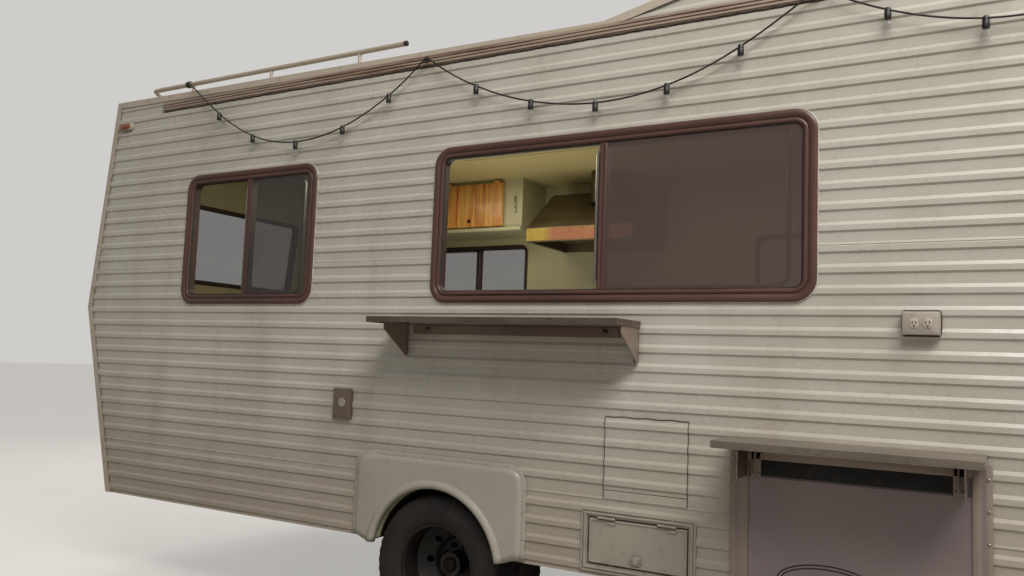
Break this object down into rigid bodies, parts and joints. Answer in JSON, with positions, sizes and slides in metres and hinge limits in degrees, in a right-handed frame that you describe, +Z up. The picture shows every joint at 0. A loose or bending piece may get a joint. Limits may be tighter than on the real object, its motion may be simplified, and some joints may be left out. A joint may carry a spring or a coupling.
{
  "type": "food truck",
  "caption": "Mini motorhome converted to a food truck: ribbed body, open serving window over a counter, lower counter, twin rear wheels, opening doors and festoon lights.",
  "frame": {"origin": "on the ground, under the middle of the vehicle in length and width", "axes": "+X forward, +Y to the left (street side), +Z up"},
  "size_m": [8.159, 2.89, 3.224],
  "materials": {
    "siding": "cream painted ribbed aluminium sheet, weathered",
    "wall_core": "cream painted panel",
    "roof_skin": "white roof coating",
    "edge_trim": "dull aluminium extrusion, weathered",
    "roof_rail": "beige painted tube",
    "window_frame": "brown enamelled aluminium",
    "house_glass": "tinted glass",
    "cab_glass": "lightly tinted glass",
    "fender": "cream painted moulding",
    "door_paint": "cream paint",
    "hatch_paint": "cream paint on an aluminium frame",
    "bay_paint": "bluish grey paint on a riveted aluminium border",
    "counter_metal": "folded brushed sheet, lightly scratched",
    "bracket_paint": "painted steel gussets",
    "fittings": "off-white plastic and sealed metal cover",
    "fan": "spun aluminium",
    "chassis": "black chassis paint with surface rust",
    "axle": "dark oily iron",
    "tyre": "black rubber with plain sidewalls",
    "rim": "white painted steel disc wheel",
    "engine": "dark cast iron",
    "exhaust": "heat-stained steel",
    "tank": "black painted steel",
    "cab_paint": "cream paint",
    "grille": "dark anodised bars in a bright frame",
    "bumper": "worn chrome",
    "lamp": "amber, red and clear lenses",
    "mirror": "black housing with a mirror face",
    "dashboard": "dark brown grained plastic",
    "seat": "brown woven cloth",
    "galley": "brushed stainless steel",
    "cupboard": "orange varnished wood doors on a cream carcass",
    "hood_steel": "brushed stainless steel",
    "cord": "black flexible cord",
    "festoon": "clear bulbs in black sockets",
    "black_plastic": "black plastic"
  },
  "bodies": {
    "root": {"bay_counter": "counter_metal", "bay_panel": "bay_paint", "bumpers": "bumper", "cab_bulkhead": "wall_core", "cab_seats": "seat", "cab_shell": "cab_paint", "cabover": "siding", "chassis_frame": "chassis", "counter_brackets": "bracket_paint", "curb_wall": "wall_core", "dashboard": "dashboard", "edge_trims": "edge_trim", "engine": "engine", "exhaust": "exhaust", "exhaust_fan": "fan", "fender_skirts": "fender", "festoon_cord": "cord", "festoon_hooks": "black_plastic", "festoon_lamps": "festoon", "front_axle": "axle", "fuel_tank": "tank", "galley": "galley", "grille": "grille", "house_floor": "wall_core", "house_glass": "house_glass", "lamps": "lamp", "overhead_cabinets": "cupboard", "patch_cover": "siding", "range_hood": "hood_steel", "rear_axle": "axle", "rear_wall": "wall_core", "roof": "roof_skin", "roof_rail": "roof_rail", "serving_counter": "counter_metal", "siding": "siding", "storage_box": "hatch_paint", "street_wall": "wall_core", "wall_fittings": "fittings", "window_frames": "window_frame", "windscreen": "cab_glass"},
    "wheels_rear_left": {"tyres_rear_left": "tyre", "rims_rear_left": "rim"},
    "wheels_rear_right": {"tyres_rear_right": "tyre", "rims_rear_right": "rim"},
    "steering_knuckle_left": {"knuckle_left": "axle"},
    "steering_knuckle_right": {"knuckle_right": "axle"},
    "wheel_front_left": {"tyre_front_left": "tyre", "rim_front_left": "rim"},
    "wheel_front_right": {"tyre_front_right": "tyre", "rim_front_right": "rim"},
    "cab_door_leaf_left": {"cab_door_left": "cab_paint", "door_glass_left": "cab_glass", "mirror_left": "mirror"},
    "cab_door_leaf_right": {"cab_door_right": "cab_paint", "door_glass_right": "cab_glass", "mirror_right": "mirror"},
    "bonnet_lid": {"bonnet": "cab_paint"},
    "entry_door_leaf": {"entry_door": "door_paint", "entry_glass": "house_glass"},
    "storage_lid": {"storage_hatch": "hatch_paint"}
  },
  "joints": [
    {"name": "roll_rear_left", "type": "hinge", "parent": "root", "child": "wheels_rear_left", "pos_m": [-1.27185, 0.899, 0.352], "axis": [0, 1, 0], "continuous": true},
    {"name": "roll_rear_right", "type": "hinge", "parent": "root", "child": "wheels_rear_right", "pos_m": [-1.27185, -0.899, 0.352], "axis": [0, 1, 0], "continuous": true},
    {"name": "steer_left", "type": "hinge", "parent": "root", "child": "steering_knuckle_left", "pos_m": [3.27815, 0.735, 0.352], "axis": [0, 0, 1], "range_deg": [-30, 30]},
    {"name": "steer_right", "type": "hinge", "parent": "root", "child": "steering_knuckle_right", "pos_m": [3.27815, -0.735, 0.352], "axis": [0, 0, 1], "range_deg": [-30, 30]},
    {"name": "roll_front_left", "type": "hinge", "parent": "steering_knuckle_left", "child": "wheel_front_left", "pos_m": [3.27815, 0.85, 0.352], "axis": [0, 1, 0], "continuous": true},
    {"name": "roll_front_right", "type": "hinge", "parent": "steering_knuckle_right", "child": "wheel_front_right", "pos_m": [3.27815, -0.85, 0.352], "axis": [0, 1, 0], "continuous": true},
    {"name": "open_cab_door_left", "type": "hinge", "parent": "root", "child": "cab_door_leaf_left", "pos_m": [2.82315, 1.007, 1], "axis": [0, 0, -1], "range_deg": [0, 65]},
    {"name": "open_cab_door_right", "type": "hinge", "parent": "root", "child": "cab_door_leaf_right", "pos_m": [2.82315, -1.007, 1], "axis": [0, 0, 1], "range_deg": [0, 65]},
    {"name": "lift_bonnet", "type": "hinge", "parent": "root", "child": "bonnet_lid", "pos_m": [3.02415, 0, 1.4222], "axis": [0, -1, 0], "range_deg": [0, 55]},
    {"name": "open_entry_door", "type": "hinge", "parent": "root", "child": "entry_door_leaf", "pos_m": [1.79215, -1.1583, 1.6], "axis": [0, 0, 1], "range_deg": [0, 95]},
    {"name": "lift_storage_lid", "type": "hinge", "parent": "root", "child": "storage_lid", "pos_m": [-0.23485, -1.156, 0.706], "axis": [-1, 0, 0], "range_deg": [0, 95]}
  ],
  "couplings": [
    {"joint": "steer_right", "follows": "steer_left", "ratio": 1}
  ]
}
